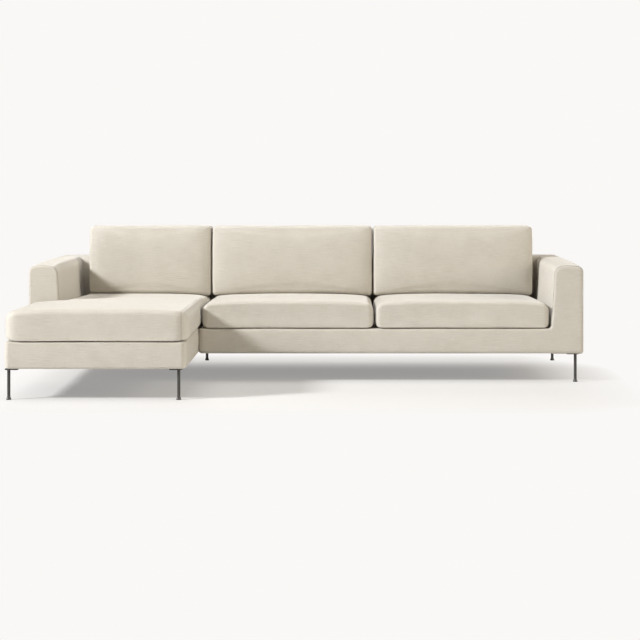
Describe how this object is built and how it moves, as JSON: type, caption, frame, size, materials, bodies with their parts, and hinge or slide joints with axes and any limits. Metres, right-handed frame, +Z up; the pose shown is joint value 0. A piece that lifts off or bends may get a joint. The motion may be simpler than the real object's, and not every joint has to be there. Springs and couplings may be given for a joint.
{
  "type": "corner sofa",
  "caption": "Corner sofa with a left-hand chaise: woven fabric over timber frames, loose crowned seat and back cushions, rounded arms and slim black steel legs.",
  "frame": {"origin": "on the floor, under the middle of the overall width and depth", "axes": "+X along the back, away from the chaise; +Y to the back; +Z up. The seats face -Y"},
  "size_m": [3.01, 1.6, 0.8258],
  "materials": {
    "cushion_fabric": "woven linen look, oatmeal, fine slubs along the width",
    "base_fabric": "the same cloth, stretched over padding",
    "deck_cloth": "plain deck cloth over a felt pad",
    "dust_cloth": "thin black non-woven cloth",
    "webbing": "elastic webbing",
    "foam": "cut foam",
    "fibre": "fibre filling in an inner bag",
    "timber": "planed softwood and plywood",
    "spring_steel": "drawn wire",
    "fastener_steel": "zinc plated",
    "leg_steel": "matt black powder coat",
    "foot_plastic": "moulded glide"
  },
  "bodies": {
    "root": {"chaise_front_rail": "timber", "chaise_left_rail": "timber", "chaise_middle_rail": "timber", "chaise_inner_rail": "timber", "chaise_right_rail": "timber", "chaise_rear_rail": "timber", "chaise_corner_blocks": "timber", "chaise_back_frame": "timber", "left_arm_frame": "timber", "sofa_front_rail": "timber", "sofa_rear_rail": "timber", "sofa_left_rail": "timber", "sofa_right_rail": "timber", "sofa_cross_rail": "timber", "sofa_corner_blocks": "timber", "sofa_back_frame": "timber", "right_arm_frame": "timber", "chaise_springs": "spring_steel", "sofa_springs": "spring_steel", "chaise_spring_clips": "fastener_steel", "sofa_spring_clips": "fastener_steel", "connector_plates": "fastener_steel", "connector_bolts": "fastener_steel", "connector_nuts": "fastener_steel", "arm_screws": "fastener_steel", "back_screws": "fastener_steel", "leg_screws": "fastener_steel", "chaise_deck_pad": "deck_cloth", "sofa_deck_pad": "deck_cloth", "chaise_dust_cover": "dust_cloth", "sofa_dust_cover": "dust_cloth", "chaise_back_webbing": "webbing", "sofa_back_webbing": "webbing", "chaise_base_cover": "base_fabric", "sofa_base_cover": "base_fabric", "chaise_back_cover": "base_fabric", "sofa_back_cover": "base_fabric", "left_arm_cover": "base_fabric", "right_arm_cover": "base_fabric", "chaise_front_left_leg": "leg_steel", "chaise_front_right_leg": "leg_steel", "chaise_rear_left_leg": "leg_steel", "chaise_rear_right_leg": "leg_steel", "sofa_front_right_leg": "leg_steel", "sofa_rear_right_leg": "leg_steel", "feet": "foot_plastic"},
    "chaise_seat": {"chaise_seat_cushion": "cushion_fabric", "chaise_seat_foam": "foam"},
    "chaise_back": {"chaise_back_cushion": "cushion_fabric", "chaise_back_filling": "fibre"},
    "middle_seat": {"middle_seat_cushion": "cushion_fabric", "middle_seat_foam": "foam"},
    "middle_back": {"middle_back_cushion": "cushion_fabric", "middle_back_filling": "fibre"},
    "right_seat": {"right_seat_cushion": "cushion_fabric", "right_seat_foam": "foam"},
    "right_back": {"right_back_cushion": "cushion_fabric", "right_back_filling": "fibre"}
  },
  "joints": [
    {"name": "chaise_seat_lift", "type": "slide", "parent": "root", "child": "chaise_seat", "axis": [0, 0, 1], "range_m": [0, 0.36]},
    {"name": "chaise_back_lift", "type": "slide", "parent": "chaise_seat", "child": "chaise_back", "axis": [0, 0, 1], "range_m": [0, 0.24]},
    {"name": "middle_seat_lift", "type": "slide", "parent": "root", "child": "middle_seat", "axis": [0, 0, 1], "range_m": [0, 0.36]},
    {"name": "middle_back_lift", "type": "slide", "parent": "middle_seat", "child": "middle_back", "axis": [0, 0, 1], "range_m": [0, 0.24]},
    {"name": "right_seat_lift", "type": "slide", "parent": "root", "child": "right_seat", "axis": [0, 0, 1], "range_m": [0, 0.36]},
    {"name": "right_back_lift", "type": "slide", "parent": "right_seat", "child": "right_back", "axis": [0, 0, 1], "range_m": [0, 0.24]}
  ]
}
